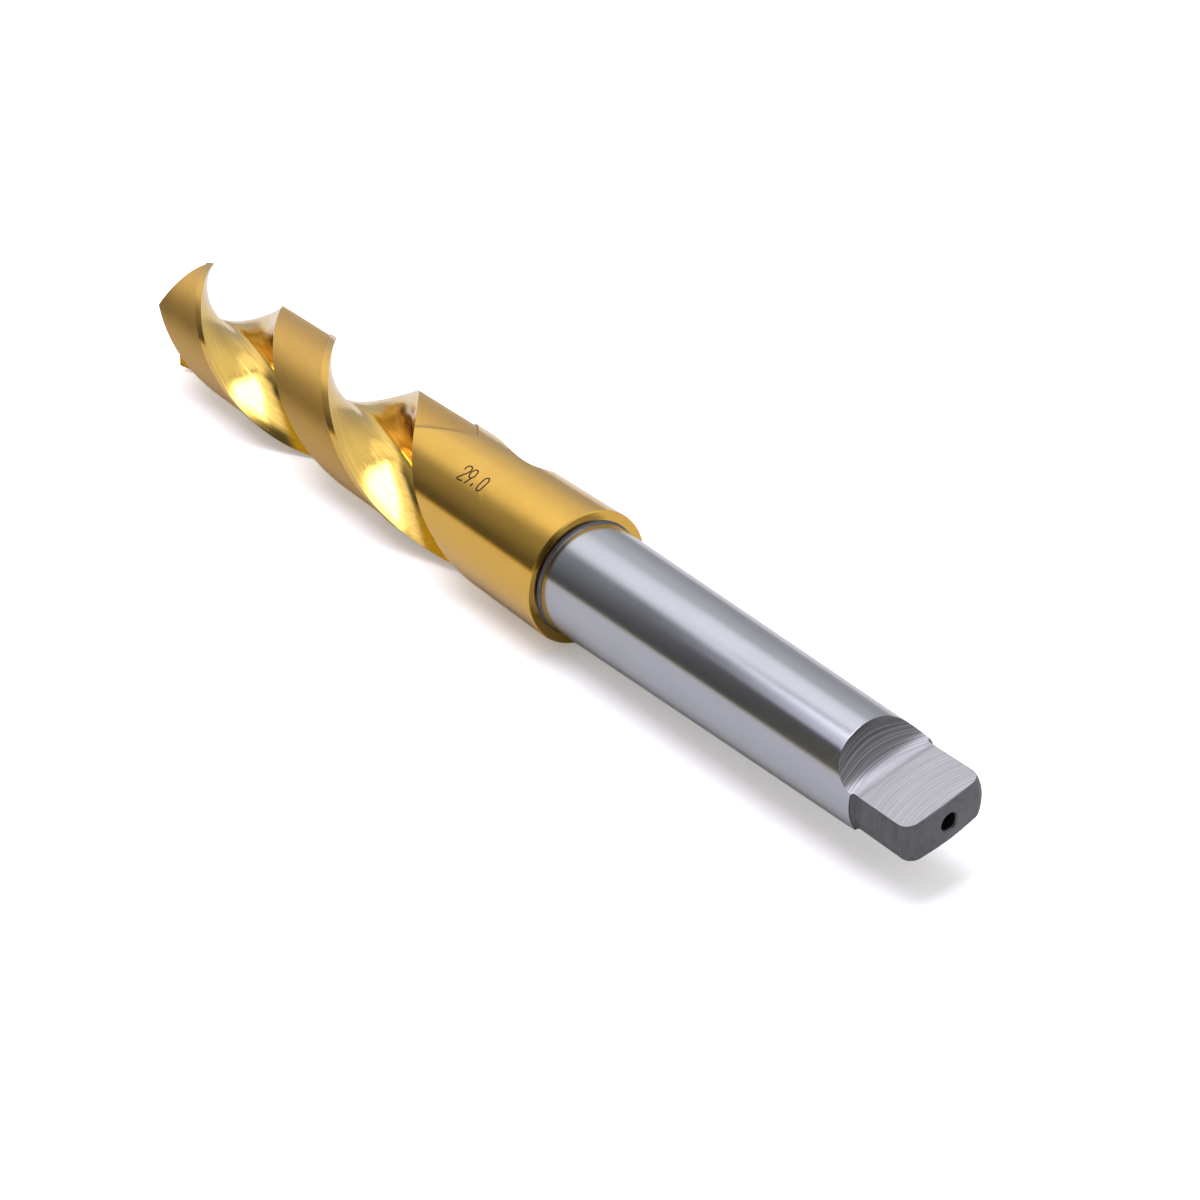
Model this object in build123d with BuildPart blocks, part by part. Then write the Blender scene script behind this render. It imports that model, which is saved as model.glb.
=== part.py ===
from build123d import *
import math
import os

# Taper shank drill, ground from one bar of tool steel.
# +X runs from the shank to the point. The origin is on the axis, in the plane of the
# shoulder where the tapered shank meets the body. Angles round the axis go from +Y to +Z.

# Body
drill_dia = 29.0
neck_dia = 28.8
neck_len = 46.0
body_len = 177.5
shoulder_chamfer = 0.3

# Tapered shank
gauge_dia = 23.825
gauge_to_shoulder = 5.0
taper_ratio = 0.05020
shank_len = 99.0
groove_width = 1.1
groove_depth = 0.45
groove_fillet = 0.8

# Tang
tang_len = 13.0
tang_dia = 18.5
tang_thickness = 7.9
tang_flat_len = 11.6
tang_cutter_radius = 7.0
tang_corner_radius = 2.2
tang_step_radius = 0.6
tang_dome = 0.6
tang_roll = 77.0
centre_hole_dia = 3.3
centre_hole_depth = 9.0

# Point
point_angle = 118.0
point_web = 4.4
lip_relief = 11.0
heel_relief = 34.0
relief_width = 2.2

# Flutes
flute_count = 2
helix_pitch = 131.8
flute_phase = -8.0
flute_turn = 105.3
web_growth = 0.019
heel_rise = ((0.33, 0.8), (0.62, 2.6), (0.84, 8.4))
lift_start = 66.8
lift_radius = 86.0
lift_direction = 69.5
lift_lag = 0.088

# Lands
margin_turn = 9.2
land_clearance = 0.5
clearance_end = 49.5
clearance_slant = 60.5

# Cutters pass this far beyond the metal, and their sections stand this far apart
overrun = 3.0
section_gap = 6.0

# Sizes that follow from these
drill_r = drill_dia / 2
neck_r = neck_dia / 2
tang_r = tang_dia / 2
hole_r = centre_hole_dia / 2
half_point = math.radians(point_angle / 2)
turn_rate = 360 / helix_pitch
land_turn = 360 / flute_count - flute_turn - margin_turn
lip_reach = math.sqrt(drill_r**2 - (point_web / 2) ** 2)
point_len = lip_reach / math.tan(half_point)
bar_end = body_len + point_len + overrun
tang_end = -shank_len
shank_end = tang_end + tang_len
flat_end = tang_end + tang_flat_len
lift_len = math.sqrt(2 * lift_radius * (drill_r - point_web / 2 + overrun))


def shank_r(x):
    """Radius of the taper, where x is measured from the shoulder."""
    return (gauge_dia + (x + gauge_to_shoulder) * taper_ratio) / 2


def margin_angle(x):
    """Angle of the leading edge of the first margin."""
    return flute_phase + turn_rate * x


def across(x):
    """Plane square to the axis, with its own x along +Y."""
    return Plane(origin=(x, 0, 0), x_dir=(0, 1, 0), z_dir=(1, 0, 0))


def around(degrees):
    """Unit vector square to the axis."""
    return Vector(0, math.cos(math.radians(degrees)), math.sin(math.radians(degrees)))


def polar(radius, degrees):
    """Point of a plane square to the axis."""
    return Vector(radius * math.cos(math.radians(degrees)), radius * math.sin(math.radians(degrees)))


def stations(start, end):
    """Evenly spaced distances from start to end."""
    count = math.ceil(abs(end - start) / section_gap)
    return [start + (end - start) * step / count for step in range(count + 1)]


def lip_side(web):
    """Flute wall in front of a straight cutting lip, turned back into one plane.

    A point of the lip at reach u from the middle stands (lip_reach - u) / tan(half point)
    further along the axis than the outer corner, so the helix turns it back by that much.
    """
    wall = []
    for share in (1.17, 1.0, 0.78, 0.56, 0.37, 0.2, 0.0):
        reach = share * lip_reach
        ahead = (lip_reach - reach) / math.tan(half_point)
        angle = math.degrees(math.atan2(web / 2, reach) - math.atan2(web / 2, lip_reach))
        wall.append((math.hypot(reach, web / 2), angle - turn_rate * ahead))
    return wall


def flute_wall(x):
    """Flute wall from margin to heel, as radii and angles from the margin's edge."""
    web = point_web + web_growth * (body_len - x)
    wall = lip_side(web)
    floor = wall[-1][1]
    for share, rise in heel_rise:
        wall.append((web / 2 + rise, floor + share * (flute_turn - floor)))
    wall.append((drill_r, flute_turn))
    wall.append((drill_r + overrun, flute_turn + 2.4))
    return wall


def flute_section(x, back=0.0):
    """Cutter section at x. Past lift_start the wheel rises along its own circle."""
    lift = back**2 / (2 * lift_radius)
    turn = margin_angle(x) + lift_lag * back
    shift = polar(lift, turn + lift_direction)
    wall = [polar(radius, turn + angle) + shift for radius, angle in flute_wall(x)]
    crown = polar(drill_r + 2 * overrun, turn + flute_turn / 2) + shift
    return wall, crown


def point_facets(turn):
    """Lip relief and heel relief planes of one lip, hinged on lines beside the lip."""
    corner = margin_angle(body_len) + turn
    out = around(corner - math.degrees(math.atan2(point_web / 2, lip_reach)))
    ahead = Vector(1, 0, 0).cross(out)
    level = Vector(1, 0, 0) * math.sin(half_point) + out * math.cos(half_point)
    lip = Vector(body_len + point_len, 0, 0) + ahead * (point_web / 2)
    lip_tilt = math.radians(lip_relief)
    heel_tilt = math.radians(heel_relief)
    hinge = lip - (ahead * math.cos(lip_tilt) + level * math.sin(lip_tilt)) * relief_width
    return (
        Plane(origin=lip, z_dir=level * math.cos(lip_tilt) - ahead * math.sin(lip_tilt)),
        Plane(origin=hinge, z_dir=level * math.cos(heel_tilt) - ahead * math.sin(heel_tilt)),
    )


# Turned bar: centre hole, tang, taper, relief groove, shoulder, neck, back-tapered body
with BuildPart() as bar:
    with BuildSketch(Plane.XZ):
        with BuildLine():
            hole_bottom = tang_end + centre_hole_depth
            hole_tip = (hole_bottom + hole_r / math.tan(half_point), 0)
            dome_edge = (tang_end + tang_dome, tang_r - tang_corner_radius)
            tang_corner = (tang_end + tang_dome + tang_corner_radius, tang_r)
            step_foot = (shank_end - tang_step_radius, tang_r)
            step_top = (shank_end, tang_r + tang_step_radius)
            groove_r = shank_r(0) - groove_depth
            groove_foot = (-groove_fillet, groove_r)
            face_foot = (0, groove_r + groove_fillet)
            Polyline(hole_tip, (hole_bottom, hole_r), (tang_end, hole_r), dome_edge)
            RadiusArc(dome_edge, tang_corner, tang_corner_radius)
            Line(tang_corner, step_foot)
            RadiusArc(step_foot, step_top, -tang_step_radius)
            Polyline(
                step_top,
                (shank_end, shank_r(shank_end)),
                (-groove_width, shank_r(-groove_width)),
                (-groove_width, groove_r),
                groove_foot,
            )
            RadiusArc(groove_foot, face_foot, -groove_fillet)
            Polyline(
                face_foot,
                (0, neck_r - shoulder_chamfer),
                (shoulder_chamfer, neck_r),
                (neck_len, neck_r),
                (body_len, drill_r),
                (bar_end, drill_r),
                (bar_end, 0),
                hole_tip,
            )
        make_face()
    revolve(axis=Axis.X)

# Flute at its full depth
with BuildPart() as flute_cutter:
    for x in stations(lift_start, bar_end + overrun):
        wall, crown = flute_section(x)
        with BuildSketch(across(x)):
            with BuildLine():
                Spline(*wall)
                ThreePointArc(wall[-1], crown, wall[0])
            make_face()
    loft()

# Flute run-out, where the wheel leaves the metal
with BuildPart() as run_out_cutter:
    for x in stations(lift_start, lift_start - lift_len):
        wall, crown = flute_section(x, lift_start - x)
        with BuildSketch(across(x)):
            with BuildLine():
                Spline(*wall)
                ThreePointArc(wall[-1], crown, wall[0])
            make_face()
    loft()

# Body clearance behind the margin, ended by a slanting plane across the land
with BuildPart() as land_cutter:
    low = drill_r - land_clearance
    high = drill_r + overrun
    slant_foot = drill_r * math.tan(math.radians(clearance_slant)) * math.sin(math.radians(land_turn / 2))
    for x in stations(clearance_end - slant_foot, bar_end + overrun):
        edge = margin_angle(x) - margin_turn
        heel = edge - land_turn - margin_turn
        middle = (heel + edge) / 2
        with BuildSketch(across(x)):
            with BuildLine():
                ThreePointArc(polar(low, heel), polar(low, middle), polar(low, edge))
                Line(polar(low, edge), polar(high, edge))
                ThreePointArc(polar(high, edge), polar(high, middle), polar(high, heel))
                Line(polar(high, heel), polar(low, heel))
            make_face()
    loft()
    land_side = margin_angle(clearance_end) - margin_turn - land_turn / 2 + 90
    slant = Vector(1, 0, 0) + around(land_side) * math.tan(math.radians(clearance_slant))
    split(bisect_by=Plane(origin=(clearance_end, 0, 0), z_dir=slant), keep=Keep.TOP)

# Tang flat with the round end that the side cutter leaves
with BuildPart() as tang_cutter:
    with BuildSketch(Plane(origin=(0, 0, 0), x_dir=(1, 0, 0), z_dir=around(tang_roll + 90))):
        with BuildLine():
            flat = tang_thickness / 2
            arc_top = (flat_end + tang_cutter_radius, flat + tang_cutter_radius)
            Polyline(
                (flat_end, flat),
                (tang_end - overrun, flat),
                (tang_end - overrun, flat + tang_cutter_radius + overrun),
                (flat_end + tang_cutter_radius, flat + tang_cutter_radius + overrun),
                arc_top,
            )
            RadiusArc(arc_top, (flat_end, flat), tang_cutter_radius)
        make_face()
    extrude(amount=tang_dia, both=True)

with BuildPart() as drill:
    add(bar.part)
    for turn in range(0, 360, 360 // flute_count):
        add(land_cutter.part, rotation=(turn, 0, 0), mode=Mode.SUBTRACT)
        add(flute_cutter.part, rotation=(turn, 0, 0), mode=Mode.SUBTRACT)
        add(run_out_cutter.part, rotation=(turn, 0, 0), mode=Mode.SUBTRACT)
        for facet in point_facets(turn):
            split(bisect_by=facet, keep=Keep.BOTTOM)
    for turn in (0, 180):
        add(tang_cutter.part, rotation=(turn, 0, 0), mode=Mode.SUBTRACT)

os.makedirs("parts", exist_ok=True)
drill.part.label = "taper_shank_drill"
export_step(drill.part, "parts/taper_shank_drill.step")
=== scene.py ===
import math

import bmesh
import bpy
import numpy as np
from mathutils import Matrix, Vector


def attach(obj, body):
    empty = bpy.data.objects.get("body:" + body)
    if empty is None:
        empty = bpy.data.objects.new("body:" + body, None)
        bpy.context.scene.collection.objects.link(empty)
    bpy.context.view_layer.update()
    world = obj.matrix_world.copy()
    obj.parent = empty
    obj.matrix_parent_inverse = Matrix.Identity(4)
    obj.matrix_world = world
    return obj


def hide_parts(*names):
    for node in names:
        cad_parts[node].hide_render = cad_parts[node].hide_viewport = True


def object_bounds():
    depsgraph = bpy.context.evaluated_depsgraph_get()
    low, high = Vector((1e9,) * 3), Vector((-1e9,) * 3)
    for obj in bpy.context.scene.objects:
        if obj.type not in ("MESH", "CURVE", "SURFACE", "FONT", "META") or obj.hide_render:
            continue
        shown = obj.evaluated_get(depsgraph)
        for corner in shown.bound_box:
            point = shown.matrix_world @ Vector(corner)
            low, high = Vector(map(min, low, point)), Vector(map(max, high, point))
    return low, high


# Taper shank drill with a gold coat on its body. Lengths are in millimetres until a mesh
# is finished, which then shrinks to metres. +X runs along the axis from shank to point,
# and angles round the axis go from +Y to +Z.

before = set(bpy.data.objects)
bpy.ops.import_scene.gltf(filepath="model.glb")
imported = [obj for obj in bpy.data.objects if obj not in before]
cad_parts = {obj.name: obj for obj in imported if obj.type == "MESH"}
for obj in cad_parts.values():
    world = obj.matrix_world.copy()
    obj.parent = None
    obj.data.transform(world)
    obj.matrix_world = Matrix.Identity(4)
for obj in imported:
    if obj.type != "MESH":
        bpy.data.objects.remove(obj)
cad_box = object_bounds()

MM = 0.001

# Body, neck and shoulder
DRILL_R, NECK_R = 14.5, 14.4
NECK_LEN, BODY_LEN = 46.0, 177.5
SHOULDER_CHAMFER = 0.3

# Taper, relief groove, tang and centre hole
GAUGE_DIA, GAUGE_TO_SHOULDER, TAPER = 23.825, 5.0, 0.05020
GROOVE_WIDTH, GROOVE_DEPTH, GROOVE_FILLET, GROOVE_BREAK = 1.1, 0.45, 0.8, 0.12
TANG_END, SHANK_END, TANG_R = -99.0, -86.0, 9.25
TANG_HALF, FLAT_END, TANG_CUTTER_R, TANG_ROLL = 3.95, -87.4, 7.0, 77.0
TANG_CORNER_R, TANG_STEP_R, TANG_DOME = 2.2, 0.6, 0.6
HOLE_R, HOLE_DEPTH, HOLE_MOUTH_R, HOLE_MOUTH_DEPTH = 1.65, 9.0, 1.9, 0.35

# Flutes, lands and point
TURN_RATE = 360 / 131.8
FLUTE_PHASE, FLUTE_TURN = -8.0, 105.3
POINT_WEB, WEB_GROWTH = 4.4, 0.019
HALF_POINT = math.radians(59)
# Shares of the lip's reach where the wall in front of it is worked out
LIP_SHARES = np.array((1.17, 1.0, 0.78, 0.56, 0.37, 0.2, 0.0))
# Behind the web: share of the turn up to the heel, and height over the web
HEEL_RISE = np.array(((0.33, 0.8), (0.62, 2.6), (0.84, 8.4)))
LIFT_START, LIFT_R, LIFT_DIRECTION, LIFT_LAG = 66.8, 86.0, 69.5, 0.088
# How far the wall runs on past the heel, in height and in turn
WALL_OVER, WALL_OVER_TURN = 3.0, 2.4
MARGIN_TURN, LEAST_MARGIN_TURN, LAND_CLEARANCE = 9.2, 2.0, 0.5
# The clearance ends in a plane that slants this much along the axis for each millimetre across
CLEARANCE_END, CLEARANCE_SLANT, CLEARANCE_FADE = 49.5, math.tan(math.radians(60.5)), 1.4
LIP_RELIEF, HEEL_RELIEF, RELIEF_WIDTH = 11.0, 34.0, 2.2
LIP_REACH = math.sqrt(DRILL_R**2 - (POINT_WEB / 2) ** 2)
POINT_LEN = LIP_REACH / math.tan(HALF_POINT)
LAND_TURN = 180 - FLUTE_TURN - MARGIN_TURN
LAND_R = DRILL_R - LAND_CLEARANCE
LAND_MIDDLE = FLUTE_PHASE + TURN_RATE * CLEARANCE_END - MARGIN_TURN - LAND_TURN / 2
# The slanting line that ends the clearance lies between these two places
SLANT_FROM, SLANT_TO = 34.3, 66.0

# Columns of the grid round half the drill: flute, land behind the margin, margin
FLUTE_COLS, LAND_COLS, MARGIN_COLS = 68, 36, 12
HALF_COLS = FLUTE_COLS + LAND_COLS + MARGIN_COLS
# Columns of the grid round half the tang: arc, flat
ARC_COLS, FLAT_COLS = 80, 36
# Points of the flute wall before columns are picked from them
WALL_SPOTS = 900
# Rough turns past the margin's edge, which tell the heel and the front edge from their copies a turn away
HEEL_NEAR, FRONT_NEAR = 60, 45
# Stretch before the lift's start in which the run-out is looked for
RUN_OUT_SEARCH = 60.0
# Rows of the fluted body: closest at the run-out's start, then even along the lift, the body and
# past the point, which is ground from the last ones
RUN_OUT_LEN, RUN_OUT_ROWS = 12.0, 44
LIFT_ROWS_END, BODY_ROWS_END, POINT_ROWS_END = 64.0, 178.0, 224.0
LIFT_STEP, BODY_STEP, POINT_STEP = 0.45, 0.95, 1.5
# Angle between faces over which their edge is sharp
SHARP_ANGLE = math.radians(24)
# Between these two places the shank's columns change from the tang's spacing to an even one
SPREAD_FROM, SPREAD_TO = -79.6, -60.0
# The skin is a hair shorter and thinner than the solid, so it stays inside the facets of the solid's mesh
SNUG_LONG, SNUG_ROUND = 0.99999, 0.9986
# Rows of the centre hole and the tang's end face, and of these with the start of the rounded corner
END_ROWS, CORNER_ROWS = 10, 12


def taper_r(x):
    """Radius of the taper: half the gauge diameter plus half the taper per millimetre."""
    return (GAUGE_DIA + (x + GAUGE_TO_SHOULDER) * TAPER) / 2


def bar_r(x):
    """Radius of the ground bar: the neck's, then growing evenly to the drill's own at the point."""
    return NECK_R + (DRILL_R - NECK_R) * np.clip((x - NECK_LEN) / (BODY_LEN - NECK_LEN), 0, 1)


def margin_angle(x):
    """Angle of the first margin's edge: a helix, so a straight line in angle against x."""
    return FLUTE_PHASE + TURN_RATE * x


def smooth_step(t):
    """Cubic ramp 3t^2 - 2t^3 between 0 and 1."""
    t = np.clip(t, 0, 1)
    return t * t * (3 - 2 * t)


def polar(radius, turn):
    """The y and z of points at that radius and turn in degrees: radius times cosine and sine."""
    turn = np.radians(turn)
    return np.stack((radius * np.cos(turn), radius * np.sin(turn)), -1)


def spun(y, z, turn):
    """The y and z of points turned about the axis by an angle in radians."""
    c, s = np.cos(turn), np.sin(turn)
    return np.stack((y * c - z * s, y * s + z * c), -1)


def turn_of(points):
    """Angle of each point round the axis, in degrees."""
    return np.degrees(np.arctan2(points[..., 1], points[..., 0]))


def near(angle, guess):
    """The angle less or plus whole turns, so that it lies within half a turn of the guess."""
    return guess + (angle - guess + 180) % 360 - 180


def length_along(points):
    """Length along a line of points up to each of them."""
    return np.concatenate(((0.0,), np.cumsum(np.linalg.norm(np.diff(points, axis=0), axis=1))))


def curve_rows(knots, spots):
    """Rows that turn values at the knots into a natural cubic curve's values at the spots.

    The curve's bends at the knots solve one tridiagonal system. Between two knots the value
    is the straight blend of both ends plus the cubic terms of their bends.
    """
    count = len(knots)
    gap = np.diff(knots)
    left, right = np.eye(count), np.zeros((count, count))
    i = np.arange(1, count - 1)
    left[i, i - 1], left[i, i], left[i, i + 1] = gap[:-1], 2 * (gap[:-1] + gap[1:]), gap[1:]
    right[i, i - 1], right[i, i + 1] = 6 / gap[:-1], 6 / gap[1:]
    right[i, i] = -6 / gap[:-1] - 6 / gap[1:]
    bend = np.linalg.solve(left, right)
    k = np.clip(np.searchsorted(knots, spots) - 1, 0, count - 2)
    after = spots - knots[k]
    before = gap[k] - after
    unit = np.eye(count)
    return (
        (before / gap[k])[:, None] * unit[k]
        + (after / gap[k])[:, None] * unit[k + 1]
        + ((before**3 / gap[k] - gap[k] * before) / 6)[:, None] * bend[k]
        + ((after**3 / gap[k] - gap[k] * after) / 6)[:, None] * bend[k + 1]
    )


def wall_posts(x):
    """Points that the flute wall passes through at each x, as y and z with the margin's edge at angle 0.

    In front of a straight lip, a point at reach u lies (lip reach - u) / tan(half point angle)
    further along the axis than the corner, so the helix turns it back by that much. Behind
    the web the wall rises to the heel through three given heights and runs on past it.
    """
    web = (POINT_WEB + WEB_GROWTH * (BODY_LEN - x))[:, None]
    reach = LIP_SHARES * LIP_REACH
    radius = np.hypot(reach, web / 2)
    turn = np.degrees(np.arctan2(web / 2, reach) - np.arctan2(web / 2, LIP_REACH))
    turn = turn - TURN_RATE * (LIP_REACH - reach) / math.tan(HALF_POINT)
    floor = turn[:, -1:]
    heel_turn = floor + HEEL_RISE[:, 0] * (FLUTE_TURN - floor)
    ones = np.ones_like(web)
    radius = np.hstack((radius, web / 2 + HEEL_RISE[:, 1], DRILL_R * ones, (DRILL_R + WALL_OVER) * ones))
    turn = np.hstack((turn, heel_turn, FLUTE_TURN * ones, (FLUTE_TURN + WALL_OVER_TURN) * ones))
    return polar(radius, turn)


def flute_wall(x):
    """The wall as many points at each x, lifted out of the metal along the wheel's circle at the shank end.

    The lift is back^2 / (2 wheel radius), where back is the distance past the lift's start.
    """
    posts = wall_posts(x)
    knots = length_along(posts[len(x) // 2])
    spots = np.linspace(0, knots[-1], WALL_SPOTS)
    wall = np.einsum("sk,nkc->nsc", curve_rows(knots, spots), posts)
    back = np.clip(LIFT_START - x, 0, None)
    lift = (back**2 / (2 * LIFT_R))[:, None]
    side = math.radians(LIFT_DIRECTION)
    wall = wall + lift[:, None] * np.array((math.cos(side), math.sin(side)))
    turn = np.radians(margin_angle(x) + LIFT_LAG * back)[:, None]
    return spun(wall[..., 0], wall[..., 1], turn)


def pick(wall, place):
    """Points of each wall at fractional places along it, by straight blend of neighbours."""
    k = np.clip(np.floor(place).astype(int), 0, wall.shape[1] - 2)
    part = (place - k)[..., None]
    rows = np.arange(len(wall))[:, None]
    return wall[rows, k] * (1 - part) + wall[rows, k + 1] * part


def crossing(radii, limit, forward):
    """Fractional place where each row of radii first comes under its limit, from either end."""
    seen = radii if forward else radii[:, ::-1]
    inside = seen < limit[:, None]
    first = np.clip(np.argmax(inside, axis=1), 1, None)
    rows = np.arange(len(seen))
    high, low = seen[rows, first - 1], seen[rows, first]
    place = first - 1 + np.clip((high - limit) / (high - low), 0, 1)
    return place if forward else seen.shape[1] - 1 - place


def land_r(x, angle):
    """Radius of the land behind its margin: the bar's, lowered by the clearance past a slanting line.

    The line's x is the clearance's end less its slant times the height above the plane through
    the axis and the land's middle. That height is the land's radius times the sine of the turn.
    """
    height = LAND_R * np.sin(np.radians(angle - 180 - LAND_MIDDLE))
    start = CLEARANCE_END - CLEARANCE_SLANT * height
    cut = smooth_step((x - start) / CLEARANCE_FADE)
    return bar_r(x) + (LAND_R - bar_r(x)) * cut


def fluted_rows(x):
    """Grid of the fluted body: at each x half a turn of columns, and the same again opposite.

    The columns are the wall, from the margin's edge to the heel, then the land and the margin.
    They run between the places where the wall crosses the bar and the land. Where the wheel
    doesn't reach the bar, the wall's columns meet in its lowest point.
    """
    wall = flute_wall(x)
    radii = np.hypot(wall[..., 0], wall[..., 1])
    edge = margin_angle(x)
    front = crossing(radii, bar_r(x), True)
    back = crossing(radii, bar_r(x), False)
    heel_turn = near(turn_of(pick(wall, back[:, None]))[:, 0], edge + HEEL_NEAR)
    back = crossing(radii, land_r(x, heel_turn), False)
    open_here = radii.min(axis=1) < bar_r(x)
    lowest = np.argmin(radii, axis=1).astype(float)
    front = np.where(open_here, front, lowest)
    back = np.maximum(np.where(open_here, back, lowest), front)
    share = np.arange(FLUTE_COLS) / FLUTE_COLS
    flute = pick(wall, front[:, None] + (back - front)[:, None] * share)

    front_turn = near(turn_of(flute[:, 0]), edge + FRONT_NEAR)[:, None]
    heel_turn = near(turn_of(pick(wall, back[:, None])), edge[:, None] + HEEL_NEAR)
    step = (edge + 180 - MARGIN_TURN)[:, None]
    step = np.minimum(step, front_turn + 180 - LEAST_MARGIN_TURN)
    angle = heel_turn + (step - heel_turn) * np.linspace(0, 1, LAND_COLS)
    land = polar(land_r(x[:, None], angle), angle)
    angle = step + (front_turn + 180 - step) * np.arange(MARGIN_COLS) / MARGIN_COLS
    margin = polar(bar_r(x)[:, None], angle)
    half = np.concatenate((flute, land, margin), axis=1)
    return np.concatenate((half, -half), axis=1)


def unwound(rows):
    """Angles of each row's columns in degrees, growing without a jump."""
    return np.degrees(np.unwrap(np.arctan2(rows[..., 1], rows[..., 0]), axis=-1))


def flatted_row(radius, half_thickness):
    """Columns of a round bar of that radius with two flats: arc and flat, and the same again opposite.

    A point of a flat keeps its distance from the middle plane, and its place along the flat
    runs evenly from one corner to the other. A bar thinner than its flats stays round.
    """
    height = min(half_thickness, radius)
    open_turn = math.degrees(math.asin(height / radius)) if radius > 0 else 90.0
    arc = np.radians(-open_turn + 2 * open_turn * np.arange(ARC_COLS) / ARC_COLS)
    reach = radius * math.cos(math.radians(open_turn))
    along = np.concatenate((radius * np.cos(arc), reach * (1 - 2 * np.arange(FLAT_COLS) / FLAT_COLS)))
    up = np.concatenate((radius * np.sin(arc), np.full(FLAT_COLS, height)))
    half = spun(along, up, math.radians(TANG_ROLL - 90))
    return np.concatenate((half, -half))


def bow(x0, r0, radius, start, stop, count):
    """Points of an arc in the profile: centre, radius, and its first and last angle."""
    t = np.radians(np.linspace(start, stop, count))
    return np.stack((x0 + radius * np.cos(t), r0 + radius * np.sin(t)), -1)


def tang_profile():
    """Turned outline from the bottom of the centre hole to the end of the taper, with the flats' heights.

    The outline is x and radius. A flat's height is the tang's half thickness, and past the flat's
    end that plus radius - sqrt(radius^2 - distance^2) of the side cutter.
    """
    hole_bottom = TANG_END + HOLE_DEPTH
    dome_r = TANG_R - TANG_CORNER_R
    dome = np.array((HOLE_MOUTH_R, 2.1, 2.7, 3.3, TANG_HALF, 4.8, 6.0, dome_r))
    dome_x = TANG_END + TANG_DOME * (dome - HOLE_R) / (dome_r - HOLE_R)
    wheel = np.radians(np.linspace(0, 88, 40))
    wheel_x = FLAT_END + TANG_CUTTER_R * np.sin(wheel)
    barrel = np.arange(-95.5, FLAT_END - 0.5, 1.0)
    barrel = np.concatenate((barrel, wheel_x[wheel_x < SHANK_END - TANG_STEP_R - 0.02]))
    taper = np.concatenate(((SHANK_END,), wheel_x[wheel_x > SHANK_END + 0.02]))
    hole = (
        (hole_bottom + HOLE_R / math.tan(HALF_POINT), 0.0),
        (hole_bottom, HOLE_R),
        (TANG_END + HOLE_MOUTH_DEPTH, HOLE_R),
    )
    profile = np.concatenate((
        hole,
        np.stack((dome_x, dome), -1),
        bow(TANG_END + TANG_DOME + TANG_CORNER_R, dome_r, TANG_CORNER_R, 172, 90, 10),
        np.stack((barrel, np.full(len(barrel), TANG_R)), -1),
        bow(SHANK_END - TANG_STEP_R, TANG_R + TANG_STEP_R, TANG_STEP_R, 270, 360, 8),
        np.stack((taper, taper_r(taper)), -1),
    ))
    past = np.clip((profile[:, 0] - FLAT_END) / TANG_CUTTER_R, 0, 1)
    heights = TANG_HALF + TANG_CUTTER_R * (1 - np.sqrt(1 - past**2))
    return profile, heights


def shoulder_profile():
    """Turned outline from the open taper over the relief groove and the shoulder face to the neck.

    The groove's fillet is a quarter circle, its outer edge is broken, and two rings lie on the flat face.
    """
    groove_r = taper_r(0) - GROOVE_DEPTH
    break_x = -GROOVE_WIDTH - GROOVE_BREAK
    spread = np.linspace(SPREAD_FROM, SPREAD_TO, 30)
    taper = np.concatenate((spread, np.linspace(-58, -4, 30), (-2.5, break_x)))
    return np.concatenate((
        np.stack((taper, taper_r(taper)), -1),
        ((-GROOVE_WIDTH, taper_r(-GROOVE_WIDTH) - GROOVE_BREAK), (-GROOVE_WIDTH, groove_r)),
        bow(-GROOVE_FILLET, groove_r + GROOVE_FILLET, GROOVE_FILLET, 270, 360, 8),
        ((0.0, groove_r + 1.2), (0.0, 13.4), (0.0, NECK_R - SHOULDER_CHAMFER), (SHOULDER_CHAMFER, NECK_R)),
    ))


def run_out_start():
    """The x where the lifted wheel first touches the neck."""
    x = np.linspace(LIFT_START - RUN_OUT_SEARCH, LIFT_START, 1200)
    wall = flute_wall(x)
    touching = np.hypot(wall[..., 0], wall[..., 1]).min(axis=1) < NECK_R
    return float(x[np.argmax(touching)])


def matched(tang, count, even):
    """The tang's columns rolled round to lie nearest to the even angles, and how many were rolled."""
    last = unwound(tang[-1])
    shifts = [(abs(np.mean(np.concatenate((last[k:], last[:k] + 360)) - even)), k) for k in range(count)]
    rolled = min(shifts)[1]
    return np.roll(tang, -rolled, axis=1), rolled


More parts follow.
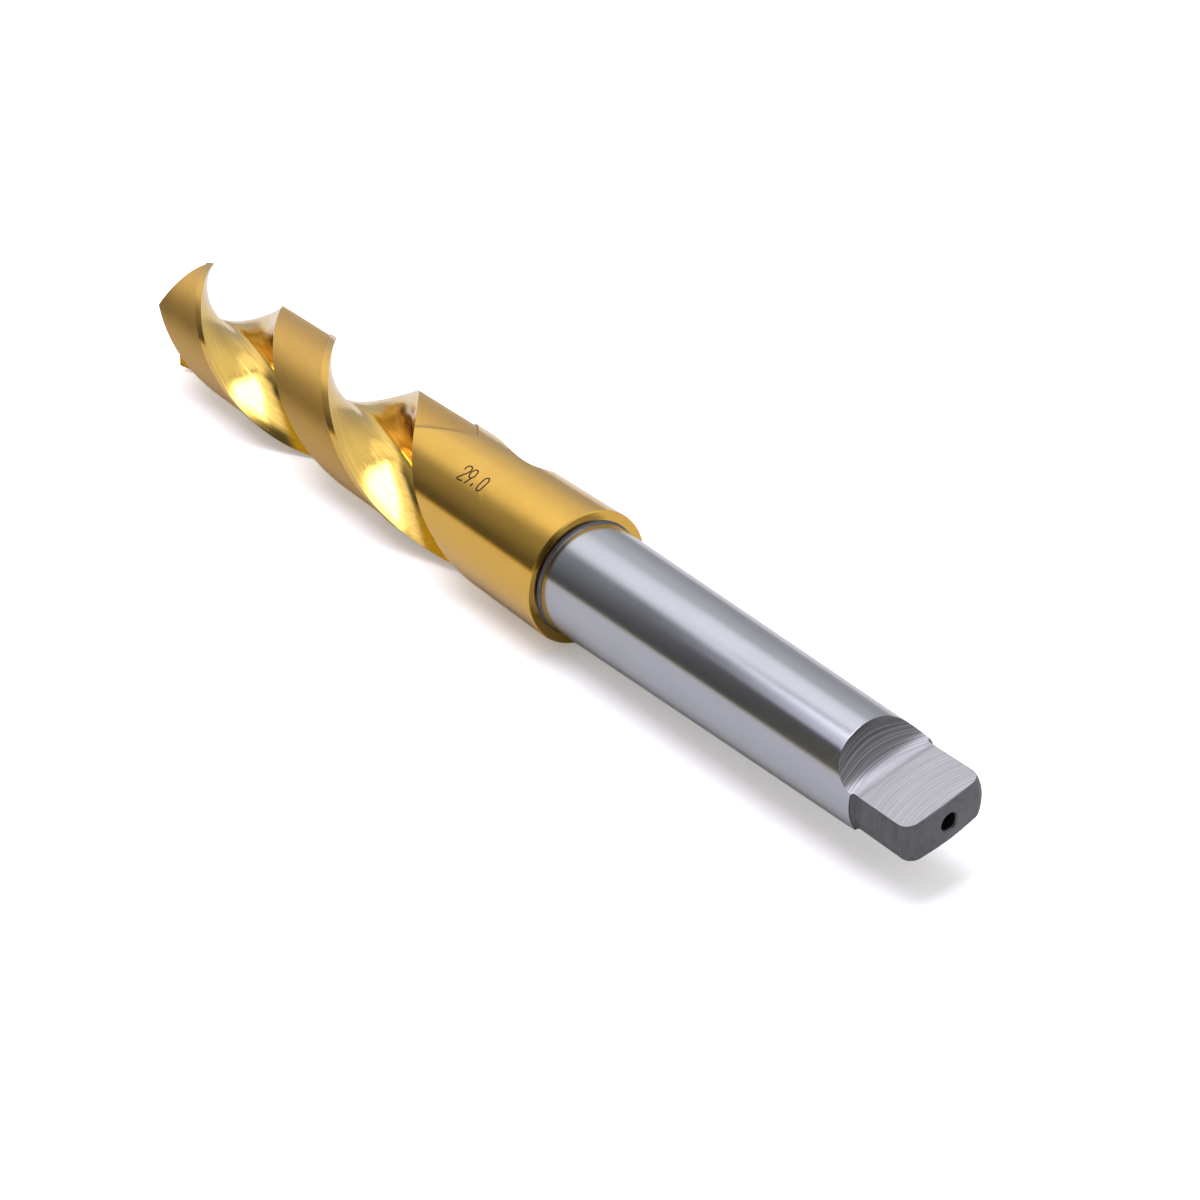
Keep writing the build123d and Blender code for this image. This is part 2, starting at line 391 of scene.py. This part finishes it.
def drill_grid():
    """All rows of the drill from the centre hole to beyond the point, as x and columns of y and z.

    The angles of the turned rows are eased from the tang's columns to even ones along the taper,
    and from even ones to the flute's columns along the neck.
    """
    start = run_out_start()
    x = np.concatenate((
        start + RUN_OUT_LEN * np.linspace(0, 1, RUN_OUT_ROWS) ** 2,
        np.arange(start + RUN_OUT_LEN + 0.4, LIFT_ROWS_END, LIFT_STEP),
        np.arange(LIFT_ROWS_END, BODY_ROWS_END, BODY_STEP),
        np.arange(BODY_ROWS_END, POINT_ROWS_END, POINT_STEP),
    ))
    body = fluted_rows(x)
    count = 2 * HALF_COLS
    first = unwound(body[0])
    steps = 360 * np.arange(count) / count
    even = np.mean(first - steps) + steps

    profile, heights = tang_profile()
    tang = np.array([flatted_row(r, h) for (_, r), h in zip(profile, heights)])
    tang, rolled = matched(tang, count, even)
    last = unwound(tang[-1])
    last = last + 360 * np.round(np.mean(even - last) / 360)

    neck_x = np.linspace(SHOULDER_CHAMFER, start, 30)[1:-1]
    neck = np.stack((neck_x, np.full(len(neck_x), NECK_R)), -1)
    turned = np.concatenate((shoulder_profile(), neck))
    to_even = smooth_step((turned[:, :1] - SPREAD_FROM) / (SPREAD_TO - SPREAD_FROM))
    to_flute = smooth_step(turned[:, :1] / start) * (turned[:, :1] > 0)
    round_rows = polar(turned[:, 1:], last + (even - last) * to_even + (first - even) * to_flute)
    stations = np.concatenate((profile[:, 0], turned[:, 0], x))
    return stations, np.concatenate((tang, round_rows, body)), len(profile), len(turned), rolled


def point_planes(turn):
    """Lip relief and heel relief planes of one lip, each as a point and a normal, hinged beside the lip."""
    corner = margin_angle(BODY_LEN) + turn - math.degrees(math.atan2(POINT_WEB / 2, LIP_REACH))
    out = Vector((0, math.cos(math.radians(corner)), math.sin(math.radians(corner))))
    ahead = Vector((1, 0, 0)).cross(out)
    level = Vector((1, 0, 0)) * math.sin(HALF_POINT) + out * math.cos(HALF_POINT)
    lip = Vector((BODY_LEN + POINT_LEN, 0, 0)) + ahead * (POINT_WEB / 2)
    lip_tilt, heel_tilt = math.radians(LIP_RELIEF), math.radians(HEEL_RELIEF)
    hinge = lip - (ahead * math.cos(lip_tilt) + level * math.sin(lip_tilt)) * RELIEF_WIDTH
    return (
        (lip, level * math.cos(lip_tilt) - ahead * math.sin(lip_tilt)),
        (hinge, level * math.cos(heel_tilt) - ahead * math.sin(heel_tilt)),
    )


# Finishes by their order in the drill's material slots
NECK, FLUTE, POINT, TAPER_FINISH, MILLED, TURNED, LAND = range(7)


def quad_finishes(stations, rows, tang_count, turned_count, rolled):
    """Finish of each quad of the grid, from its row and its column. A later line overrules an earlier one."""
    i, j = np.meshgrid(np.arange(len(stations) - 1), np.arange(rows.shape[1]), indexing="ij")
    x = (stations[:-1] + stations[1:])[:, None] / 2 + 0 * i
    radius = np.hypot(rows[..., 0], rows[..., 1]).max(axis=1)
    steep = (np.abs(np.diff(radius)) > np.abs(np.diff(stations)) * 0.5)[:, None]
    on_tang = i < tang_count
    on_flat = on_tang & ((j + rolled) % HALF_COLS >= ARC_COLS)
    fluted = i >= tang_count + turned_count - 1
    column = j % HALF_COLS
    on_land = (column >= FLUTE_COLS) & (column < FLUTE_COLS + LAND_COLS)

    finish = np.full(i.shape, NECK)
    finish[i < tang_count + turned_count] = TAPER_FINISH
    finish[on_tang & (x < SHANK_END)] = TURNED
    finish[on_flat & ((x > TANG_END + TANG_DOME) | ~steep)] = MILLED
    finish[i < END_ROWS] = TURNED
    finish[(i > tang_count) & (x > -GROOVE_WIDTH - GROOVE_BREAK) & (x <= 0)] = TURNED
    finish[(i >= tang_count) & (x >= 0)] = NECK
    finish[fluted & (column < FLUTE_COLS)] = FLUTE
    finish[fluted & on_land & (x > SLANT_FROM)] = LAND
    return finish


def crisp_spots(row_count, count, tang_count, body_start, rolled):
    """1 at the spots on lines that stay crisp whatever the angle between their faces, and 0 elsewhere.

    The lines are the edges of flutes, lands and margins, and the long edges of the tang's flats.
    """
    crisp = np.zeros((row_count, count), np.float32)
    for column in (0, FLUTE_COLS, FLUTE_COLS + LAND_COLS - 1, FLUTE_COLS + LAND_COLS):
        crisp[body_start:, [column, column + HALF_COLS]] = 1
    place = (np.arange(count) + rolled) % HALF_COLS
    crisp[CORNER_ROWS:tang_count, (place == 0) | (place == ARC_COLS)] = 1
    return crisp


def grind_point(skin):
    """Cuts the skin's open end by each lip's two planes and fills each cut."""
    for turn in (0, 180):
        for spot, normal in point_planes(turn):
            cut = bmesh.ops.bisect_plane(
                skin, geom=skin.verts[:] + skin.edges[:] + skin.faces[:], dist=1e-5,
                plane_co=spot, plane_no=normal, clear_outer=True)
            rim = [e for e in cut["geom_cut"] if isinstance(e, bmesh.types.BMEdge) and e.is_boundary]
            made = bmesh.ops.triangle_fill(
                skin, use_beauty=True, use_dissolve=False, edges=rim, normal=normal)
            for face in made["geom"]:
                if isinstance(face, bmesh.types.BMFace):
                    face.material_index = POINT


def shade_mesh(mesh):
    """Smooth shading, with sharp edges where faces meet at over the sharp angle and along the crisp lines."""
    line = np.zeros(len(mesh.vertices), np.float32)
    mesh.attributes["crisp"].data.foreach_get("value", line)
    ends = np.zeros(len(mesh.edges) * 2, np.int32)
    mesh.edges.foreach_get("vertices", ends)
    mesh.polygons.foreach_set("use_smooth", np.ones(len(mesh.polygons), bool))
    mesh.set_sharp_from_angle(angle=SHARP_ANGLE)
    sharp = np.zeros(len(mesh.edges), bool)
    mesh.attributes["sharp_edge"].data.foreach_get("value", sharp)
    sharp |= (line[ends.reshape(-1, 2)] > 0.99).all(axis=1)
    mesh.attributes["sharp_edge"].data.foreach_set("value", sharp)
    mesh.attributes.remove(mesh.attributes["crisp"])
    mesh.update()


def drill_mesh():
    """One closed skin of the whole drill: the grid's quads, with the point ground on by four planes."""
    stations, rows, tang_count, turned_count, rolled = drill_grid()
    row_count, count = rows.shape[:2]
    spots = np.dstack((np.repeat(stations[:, None], count, 1), rows)).reshape(-1, 3)
    i, j = np.meshgrid(np.arange(row_count - 1), np.arange(count), indexing="ij")
    after = (j + 1) % count
    quads = np.stack((i * count + j, i * count + after, (i + 1) * count + after, (i + 1) * count + j), -1)
    open_end = list(range((row_count - 1) * count, row_count * count))
    finish = quad_finishes(stations, rows, tang_count, turned_count, rolled)
    crisp = crisp_spots(row_count, count, tang_count, tang_count + turned_count, rolled)

    mesh = bpy.data.meshes.new("taper_shank_drill_skin")
    mesh.from_pydata(spots.tolist(), [], quads.reshape(-1, 4).tolist() + [open_end])
    mesh.polygons.foreach_set("material_index", np.append(finish.ravel(), POINT).astype(np.int32))
    mesh.attributes.new("crisp", "FLOAT", "POINT").data.foreach_set("value", crisp.ravel())

    skin = bmesh.new()
    skin.from_mesh(mesh)
    bmesh.ops.remove_doubles(skin, verts=skin.verts, dist=1e-4)
    grind_point(skin)
    bmesh.ops.dissolve_degenerate(skin, edges=skin.edges, dist=1e-5)
    bmesh.ops.recalc_face_normals(skin, faces=skin.faces)
    bmesh.ops.scale(skin, vec=(MM * SNUG_LONG, MM * SNUG_ROUND, MM * SNUG_ROUND), verts=skin.verts)
    skin.to_mesh(mesh)
    skin.free()
    shade_mesh(mesh)
    return mesh


# Strokes of the size number, in millimetres along the neck and up round it
STROKES = (
    (
        (2.35, 2.95), (2.3, 3.6), (2.75, 4.15), (3.45, 4.22), (3.95, 3.85),
        (4.08, 3.2), (3.8, 2.5), (3.2, 1.7), (2.42, 0.55), (4.18, 0.55),
    ),
    (
        (5.7, 2.0), (5.1, 2.12), (4.65, 2.7), (4.62, 3.5), (5.0, 4.15),
        (5.8, 4.15), (6.2, 3.4), (6.18, 2.5), (5.7, 2.0),
    ),
    ((6.15, 2.6), (5.85, 1.8), (5.25, 0.45)),
    ((7.46, 1.25), (7.38, 0.72)),
    (
        (9.9, 4.2), (9.35, 3.9), (9.14, 2.7), (9.22, 1.2), (9.75, 0.55),
        (10.35, 0.85), (10.6, 2.2), (10.5, 3.6), (9.9, 4.2),
    ),
)
MARK_X, MARK_TURN, MARK_HEIGHT, MARK_ROOT = 36.0, 50.0, 0.015, 0.08
LINE_WIDTH, DOT_WIDTH, STROKE_STEP = 0.36, 0.45, 0.08


def stroke_ribbon(points, width):
    """A stroke of the number as a low ribbon along a smooth curve through the points.

    It has five spots across. The middle three lie at the neck's radius plus a hair, the outer two
    sink below the neck's skin, and the place along the neck and the arc round it give x and angle.
    """
    points = np.array(points)
    knots = length_along(points)
    count = max(6, int(knots[-1] / STROKE_STEP))
    if len(points) > 2:
        line = curve_rows(knots, np.linspace(0, knots[-1], count)) @ points
    else:
        line = np.linspace(*points, count)
    ahead = np.gradient(line, axis=0)
    ahead /= np.linalg.norm(ahead, axis=1, keepdims=True)
    line[0] -= ahead[0] * width * 0.3
    line[-1] += ahead[-1] * width * 0.3
    side = np.stack((-ahead[:, 1], ahead[:, 0]), -1)
    across = np.array((-0.5, -0.47, 0, 0.47, 0.5)) * width
    rise = np.array((-MARK_ROOT, MARK_HEIGHT, MARK_HEIGHT, MARK_HEIGHT, -MARK_ROOT))
    flat = line[:, None] + side[:, None] * across[:, None]
    radius = NECK_R + rise + 0 * flat[..., 0]
    angle = math.radians(MARK_TURN) + flat[..., 1] / NECK_R
    spots = np.stack((MARK_X - flat[..., 0], radius * np.cos(angle), radius * np.sin(angle)), -1)
    i, j = np.meshgrid(np.arange(count - 1), np.arange(4), indexing="ij")
    quads = np.stack((i * 5 + j, (i + 1) * 5 + j, (i + 1) * 5 + j + 1, i * 5 + j + 1), -1).reshape(-1, 4)
    i = np.arange(count - 1)
    under = np.stack((i * 5, i * 5 + 4, (i + 1) * 5 + 4, (i + 1) * 5), -1)
    caps = [[0, 1, 2, 3, 4], [(count - 1) * 5 + n for n in (4, 3, 2, 1, 0)]]
    return spots.reshape(-1, 3), quads.tolist() + under.tolist() + caps


def mark_mesh():
    """All strokes of the size number in one mesh."""
    spots, faces, base = [], [], 0
    for points in STROKES:
        part, quads = stroke_ribbon(points, DOT_WIDTH if len(points) == 2 else LINE_WIDTH)
        spots.append(part)
        faces += [[base + n for n in face] for face in quads]
        base += len(part)
    mesh = bpy.data.meshes.new("size_mark_skin")
    mesh.from_pydata((np.concatenate(spots) * MM).tolist(), [], faces)
    skin = bmesh.new()
    skin.from_mesh(mesh)
    bmesh.ops.recalc_face_normals(skin, faces=skin.faces)
    skin.to_mesh(mesh)
    skin.free()
    return mesh


class Sock:
    """One output socket. Arithmetic on it adds Math nodes, so a pattern reads as a formula."""

    def __init__(self, tree, socket):
        self.tree, self.socket = tree, socket

    def math(self, operation, *values):
        """A Math node with that operation on the values."""
        return node(self.tree, "ShaderNodeMath", {"operation": operation}, dict(enumerate(values)))

    def __add__(self, other):
        return self.math("ADD", self, other)

    def __radd__(self, other):
        return self.math("ADD", other, self)

    def __sub__(self, other):
        return self.math("SUBTRACT", self, other)

    def __rsub__(self, other):
        return self.math("SUBTRACT", other, self)

    def __mul__(self, other):
        return self.math("MULTIPLY", self, other)

    def __rmul__(self, other):
        return self.math("MULTIPLY", other, self)

    def sin(self):
        """Sine of this value in radians."""
        return self.math("SINE", self)

    def cos(self):
        """Cosine of this value in radians."""
        return self.math("COSINE", self)

    def root(self):
        """Square root of this value."""
        return self.math("SQRT", self)

    def ramp(self, low, high, to_low=0.0, to_high=1.0):
        """This value's place between low and high, eased, as a value between to_low and to_high."""
        return node(self.tree, "ShaderNodeMapRange", {"interpolation_type": "SMOOTHSTEP"},
                    {"Value": self, "From Min": low, "From Max": high, "To Min": to_low, "To Max": to_high})


def node(tree, kind, settings=None, inputs=None, output=0):
    """Adds a node of that type, applies its settings, then sets or links its inputs, and gives one output."""
    made = tree.nodes.new(kind)
    for name, value in (settings or {}).items():
        setattr(made, name, value)
    for name, value in (inputs or {}).items():
        if isinstance(value, Sock):
            tree.links.new(value.socket, made.inputs[name])
        else:
            made.inputs[name].default_value = value
    return Sock(tree, made.outputs[output]) if made.outputs else None


def outputs(first):
    """All outputs of a socket's node."""
    return [Sock(first.tree, socket) for socket in first.socket.node.outputs]


def axes(tree, place):
    """The x, y and z of a vector."""
    return outputs(node(tree, "ShaderNodeSeparateXYZ", inputs={0: place}))


def millimetres(tree):
    """Object coordinates in millimetres: x, y, z."""
    return [value * 1000 for value in axes(tree, node(tree, "ShaderNodeTexCoord", output="Object"))]


def joined(tree, x, y, z):
    """A vector from three values."""
    return node(tree, "ShaderNodeCombineXYZ", inputs={0: x, 1: y, 2: z})


def grain(tree, place, size, detail=2.0, roughness=0.5):
    """Noise of that feature size in the place's own units."""
    return node(tree, "ShaderNodeTexNoise", {"noise_dimensions": "3D"},
                {"Vector": place, "Scale": 1 / size, "Detail": detail, "Roughness": roughness}, "Fac")


def blend(tree, share, first, second):
    """Colour between two colours."""
    return node(tree, "ShaderNodeMix", {"data_type": "RGBA"}, {0: share, 6: first, 7: second}, 2)


def emptied(owner):
    """The node tree of a new material or world, without the nodes it came with."""
    owner.use_nodes = True
    owner.node_tree.nodes.clear()
    return owner.node_tree


def metal(name, dark, light, pattern, dull_and_shade=(0, 0, 0)):
    """A metal material, with a pattern worked out from x, y and z.

    The pattern gives its shade from 0 to 1, its roughness, its height in millimetres and, where
    it has one, its share of the dull colour. The land uses it for a duller finish and for painted shade, the
    tang's flats for painted shade.
    """
    material = bpy.data.materials.new(name)
    tree = emptied(material)
    shade, rough, height, *dull_and_shade_share = pattern(tree, *millimetres(tree))
    bump = node(tree, "ShaderNodeBump", inputs={"Height": height, "Strength": 1.0, "Distance": MM})
    colour = blend(tree, shade, (*dark, 1), (*light, 1))
    if dull_and_shade_share:
        # blends in the dull colour: a duller finish, and painted shade
        colour = blend(tree, dull_and_shade_share[0], colour, (*dull_and_shade, 1))
    surface = node(tree, "ShaderNodeBsdfPrincipled",
                   inputs={"Base Color": colour, "Metallic": 1.0, "Roughness": rough, "Normal": bump})
    node(tree, "ShaderNodeOutputMaterial", inputs={"Surface": surface})
    return material


def unwound_sides(x, y, z):
    """The y and z of the place turned back by the helix."""
    turn = x * math.radians(TURN_RATE)
    c, s = turn.cos(), turn.sin()
    return y * c + z * s, z * c - y * s


def unwound_place(tree, x, y, z, along, across):
    """Place turned back by the helix, so a pattern stretched along x follows the flutes."""
    y, z = unwound_sides(x, y, z)
    return joined(tree, x * along, y * across, z * across)


def specks(tree, x, y, z):
    """Few small handling marks: the peaks of a fine noise, thinned out by a coarse one."""
    place = joined(tree, x, y, z)
    fine = grain(tree, joined(tree, x * 0.6 + y * 0.8, y - x * 0.5, z), 0.55, 3)
    coarse = grain(tree, place, 9, 2)
    return fine.ramp(0.67, 0.75) * coarse.ramp(0.5, 0.66)


def coated_round(tree, x, y, z):
    """Gold coat over round grinding: faint rings across the axis, soft clouds and a few handling marks."""
    rings = grain(tree, joined(tree, x, y * 0.03, z * 0.03), 0.09, 2)
    clouds = grain(tree, joined(tree, x, y, z), 7, 3)
    marks = specks(tree, x, y, z)
    shade = clouds * 0.5 + rings * 0.25 + 0.15 - marks * 0.25
    rough = clouds * 0.06 + rings * 0.05 + 0.09 + marks * 0.1
    return shade, rough, rings * 0.0012 - marks * 0.01


def coated_flute(tree, x, y, z):
    """Gold coat over flute grinding: streaks that follow the helix, some of them deeper."""
    streaks = grain(tree, unwound_place(tree, x, y, z, 0.012, 1), 0.3, 4, 0.7)
    broad = grain(tree, unwound_place(tree, x, y, z, 0.02, 1), 1.6, 2)
    fine = grain(tree, unwound_place(tree, x, y, z, 0.01, 1), 0.13, 2)
    scores = streaks.ramp(0.62, 0.72)
    shade = streaks.ramp(0.3, 0.7) * 0.6 + broad * 0.3 + fine.ramp(0.3, 0.7) * 0.4 - 0.15 - scores * 0.4
    rough = streaks * 0.1 + 0.04
    return shade, rough, streaks * 0.018 + broad * 0.008 + fine * 0.008 - scores * 0.008


def past(y, z, angle):
    """Distance from the plane through the axis at that angle.

    Its sign is turned round on the drill's other half, so that both halves read the same.
    """
    c, s = math.cos(math.radians(angle)), math.sin(math.radians(angle))
    return (z * c - y * s) * (y * c + z * s).math("SIGN", y * c + z * s)


def coated_land(tree, x, y, z):
    """Gold coat over the land.

    Past the slanting line its grinding is coarser, with fine lines along the helix, and the
    corner beside the margin's step is darkened with painted shade.
    """
    line_x = x + past(y, z, LAND_MIDDLE) * CLEARANCE_SLANT
    cleared = line_x.ramp(CLEARANCE_END - 0.1, CLEARANCE_END + 0.3) * x.ramp(SLANT_FROM, SLANT_FROM + 0.1)
    cleared = cleared.math("MAXIMUM", cleared, x.ramp(SLANT_TO, SLANT_TO + 1))
    # painted shade: past the slanting line, the land within about 0.4 mm of the margin's step is darkened
    corner = past(*unwound_sides(x, y, z), FLUTE_PHASE - MARGIN_TURN).ramp(-0.4, -0.08) * cleared
    lines = grain(tree, unwound_place(tree, x, y, z, 0.02, 1), 0.16, 3, 0.65)
    shade, rough, height = coated_round(tree, x, y, z)
    # painted shade: darker tone in the corner by the step
    shade = shade - corner * 0.5
    rough = rough + cleared * (lines * 0.14 + 0.22)
    height = height + cleared * lines * 0.006
    # share of the dull colour: the cleared land's duller finish, plus painted shade in the corner by the step
    return shade, rough, height, cleared * (1.15 - lines) + corner * 0.5


def coated_point(tree, x, y, z):
    """Gold coat over the point's flat grinding: straight fine lines across each facet."""
    lines = grain(tree, joined(tree, x * 0.2, (y + z) * 1.0, (y - z) * 0.03), 0.15, 3, 0.6)
    return lines * 0.6 + 0.2, lines * 0.12 + 0.16, lines * 0.004


def ground_steel(tree, x, y, z):
    """Bright taper: very fine rings of cylindrical grinding, faint smears and a few handling marks."""
    rings = grain(tree, joined(tree, x, y * 0.02, z * 0.02), 0.08, 2)
    smears = grain(tree, joined(tree, x * 0.35, y, z), 4, 3)
    marks = specks(tree, x, y, z)
    shade = rings * 0.3 + smears * 0.45 + 0.1 - marks * 0.3
    return shade, rings * 0.05 + smears * 0.05 + 0.12 + marks * 0.12, rings * 0.0012 - marks * 0.006


def milled_steel(tree, x, y, z):
    """Tang flats: arcs left by a side cutter, which are straight lines across where the cutter ran out."""
    roll = math.radians(TANG_ROLL - 90)
    side = y * math.cos(roll) + z * math.sin(roll)
    sweep = x + (side * side) * 0.02
    arcs = grain(tree, joined(tree, sweep, side * 0.004, z * 0.002), 0.24, 3, 0.7)
    fine = grain(tree, joined(tree, sweep, side * 0.012, z * 0.012), 0.12, 2)
    run_out = x.ramp(FLAT_END + 0.8, FLAT_END + 2.5)
    # painted shade: a band at the flat's end is darkened to dim the highlight it catches
    shaded_band = x.ramp(FLAT_END - 0.6, FLAT_END) * (1 - run_out)
    scores = arcs.ramp(0.6, 0.66)
    shade = arcs.ramp(0.34, 0.6) * 0.35 + fine.ramp(0.3, 0.7) * 0.35 + scores * 0.3
    rough = arcs * 0.1 + 0.34 - run_out * 0.06
    # painted shade: the run-out darkens towards the shank, and the band at the flat's end a little
    dull_and_shade = run_out * (0.75 - arcs.ramp(0.4, 0.65) * 0.3) + shaded_band * 0.2
    return shade, rough, (arcs * 0.025 + fine * 0.01) * (1 - run_out * 0.75), dull_and_shade


def turned_steel(tree, x, y, z):
    """Dull turned steel of the tang's sides and end: faint rings round the axis and grey clouds."""
    radius = (y * y + z * z).root()
    rings = grain(tree, joined(tree, radius, x * 0.4, 0.0), 0.45, 3, 0.65)
    clouds = grain(tree, joined(tree, x, y, z), 1.6, 4)
    shade = rings.ramp(0.3, 0.7) * 0.25 + clouds * 0.9 - 0.1
    return shade, clouds * 0.15 + 0.36, rings * 0.004 + clouds * 0.012


def etched(tree, x, y, z):
    """Etched number: dark, slightly uneven."""
    clouds = grain(tree, joined(tree, x, y, z), 0.3, 2)
    return clouds * 0.8, clouds * 0.1 + 0.45, clouds * 0.004


def placed(name, data):
    """A new object in the scene."""
    made = bpy.data.objects.new(name, data)
    bpy.context.scene.collection.objects.link(made)
    return made


GOLD_DARK, GOLD_LIGHT = (0.60, 0.35, 0.065), (0.77, 0.475, 0.10)

drill = placed("taper_shank_drill_dressed", drill_mesh())
for finish in (
    metal("coated_neck", GOLD_DARK, GOLD_LIGHT, coated_round),
    metal("coated_flute", (0.62, 0.38, 0.07), (0.82, 0.56, 0.15), coated_flute),
    metal("coated_point", GOLD_DARK, GOLD_LIGHT, coated_point),
    metal("ground_taper", (0.38, 0.39, 0.425), (0.47, 0.48, 0.515), ground_steel),
    # the milled tang's dull colour is painted shade for the cutter's run-out and the band at the flat's end
    metal("milled_tang", (0.24, 0.235, 0.25), (0.43, 0.43, 0.44), milled_steel, (0.05, 0.05, 0.055)),
    metal("turned_tang", (0.09, 0.088, 0.098), (0.18, 0.178, 0.188), turned_steel),
    # the land's dull colour: its duller cleared finish, and painted shade by the margin's step
    metal("coated_land", GOLD_DARK, GOLD_LIGHT, coated_land, (0.45, 0.27, 0.068)),
):
    drill.data.materials.append(finish)
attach(drill, "root")
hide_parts("taper_shank_drill")

mark = placed("size_mark", mark_mesh())
mark.data.materials.append(metal("etched_mark", (0.05, 0.022, 0.02), (0.1, 0.05, 0.035), etched))
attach(mark, "root")


# Radius of the floor in metres
FLOOR_R = 5.0


def floor_mesh(height):
    """A flat round sheet in metres: one face between points of a circle at that height."""
    turn = np.radians(np.arange(0, 360, 5))
    spots = np.stack((FLOOR_R * np.cos(turn), FLOOR_R * np.sin(turn), height + 0 * turn), -1)
    mesh = bpy.data.meshes.new("floor_skin")
    mesh.from_pydata(spots.tolist(), [], [list(range(len(spots)))])
    return mesh


def pale_floor():
    """White paper floor.

    Seen directly it is paler and glows a little, so that bare paper is white. What reflections
    see of it has a small share of that.
    """
    material = bpy.data.materials.new("paper_floor")
    tree = emptied(material)
    rays = {ray.socket.name: ray for ray in outputs(node(tree, "ShaderNodeLightPath"))}
    mirrored = rays["Is Glossy Ray"] + rays["Is Transmission Ray"]
    seen = rays["Is Camera Ray"] + mirrored * 0.08
    paper = node(tree, "ShaderNodeBsdfDiffuse", inputs={"Color": (0.60, 0.60, 0.60, 1)})
    pale = node(tree, "ShaderNodeBsdfDiffuse", inputs={"Color": (0.94, 0.93, 0.96, 1)})
    glow = node(tree, "ShaderNodeEmission", inputs={"Color": (1, 1, 1, 1), "Strength": 0.27})
    both = node(tree, "ShaderNodeAddShader", inputs={0: pale, 1: glow})
    mixed = node(tree, "ShaderNodeMixShader", inputs={0: seen, 1: paper, 2: both})
    node(tree, "ShaderNodeOutputMaterial", inputs={"Surface": mixed})
    return material


floor = placed("floor", floor_mesh(cad_box[0][2]))
floor.data.materials.append(pale_floor())


def studio_light(x, y, z):
    """Strength of the light from each direction, with the share of warm light and of the strip overhead.

    Each part is a product of eased ramps of the direction's x, y and z. A soft box stands beyond
    the tip, tilted towards the drill, and a brighter strip hangs overhead, with a dim gap between
    them. There is a pale wall behind, a dim warm side below the strip, a thin warm line at the
    horizon and a dark room elsewhere.
    """
    gap = x * 0.788 - y * 0.616
    box = (x * 0.59 - y * 0.07 + z * 0.804).ramp(0.79, 1.0)
    box = box * z.ramp(0.62, 0.74, 0.95, 1.45) * y.ramp(0.5, 0.15)
    wall = (y * -1).ramp(-0.35, 0.1) * (0.42 + x.ramp(0.65, 0.3) * 0.28 + z.ramp(0.2, 0.75) * 0.25)
    dim = gap.ramp(0.40, 0.36) * z.ramp(0.76, 0.84) * x.ramp(0.05, 0.2) * 0.85
    strip = gap.ramp(0.305, 0.285) * x.ramp(0.60, 0.56) * x.ramp(-0.12, 0.04)
    strip = strip * y.ramp(-0.6, -0.42) * z.ramp(0.58, 0.605)
    core = z.ramp(0.85, 0.89) * y.ramp(0.46, 0.38) * y.ramp(-0.4, -0.28)
    side = y.ramp(0.68, 0.8) * z.ramp(0.62, 0.58) * x.ramp(0.55, 0.4)
    far = x.ramp(0.55, 0.76) * z.ramp(0.03, 0.62) * z.ramp(0.69, 0.58) * 0.36
    line = z.ramp(-0.03, -0.01) * z.ramp(0.045, 0.025) * y.ramp(0.3, 0.5)
    light = box.math("MAXIMUM", box, wall) * (1 - dim) + strip * (z.ramp(0.6, 0.85, 1.15, 1.9) + core * 6.3)
    light = light + side * 0.45 + far + line * 0.45 + 0.1
    return light, side.math("MAXIMUM", side, line * 0.8), strip


def studio():
    """Studio light as the world. Seen directly, past the floor's edge, it is a plain white backdrop."""
    world = bpy.data.worlds.new("studio")
    bpy.context.scene.world = world
    tree = emptied(world)
    way = node(tree, "ShaderNodeTexCoord", output="Generated")
    light, warm, strip = studio_light(*axes(tree, way))
    tint = blend(tree, warm, (0.98, 0.98, 1, 1), (1, 0.76, 0.12, 1))
    tint = blend(tree, strip, tint, (0.88, 0.87, 0.96, 1))
    room = node(tree, "ShaderNodeBackground", inputs={"Color": tint, "Strength": light})
    backdrop = node(tree, "ShaderNodeBackground", inputs={"Color": (1, 1, 1, 1), "Strength": 1.0})
    seen = node(tree, "ShaderNodeLightPath", output="Is Camera Ray")
    both = node(tree, "ShaderNodeMixShader", inputs={0: seen, 1: room, 2: backdrop})
    node(tree, "ShaderNodeOutputWorld", inputs={"Surface": both})


studio()

# Lens in millimetres, place in metres and turns in radians, fitted to the photo's outlines
EYE, YAW, PITCH = (-0.254753, 0.183353, 0.176379), -0.6316721628, -0.5241170
camera_data = bpy.data.cameras.new("camera")
camera_data.lens, camera_data.sensor_width = 54.4855, 36.0
camera_data.clip_start, camera_data.clip_end = 0.01, 50
camera = placed("camera", camera_data)
ahead = Vector((math.cos(PITCH) * math.cos(YAW), math.cos(PITCH) * math.sin(YAW), math.sin(PITCH)))
right = ahead.cross(Vector((0, 0, 1))).normalized()
turned = Matrix((right, right.cross(ahead), -ahead)).transposed()
camera.matrix_world = Matrix.Translation(EYE) @ turned.to_4x4()
bpy.context.scene.camera = camera

bpy.context.scene.view_settings.view_transform = "Standard"
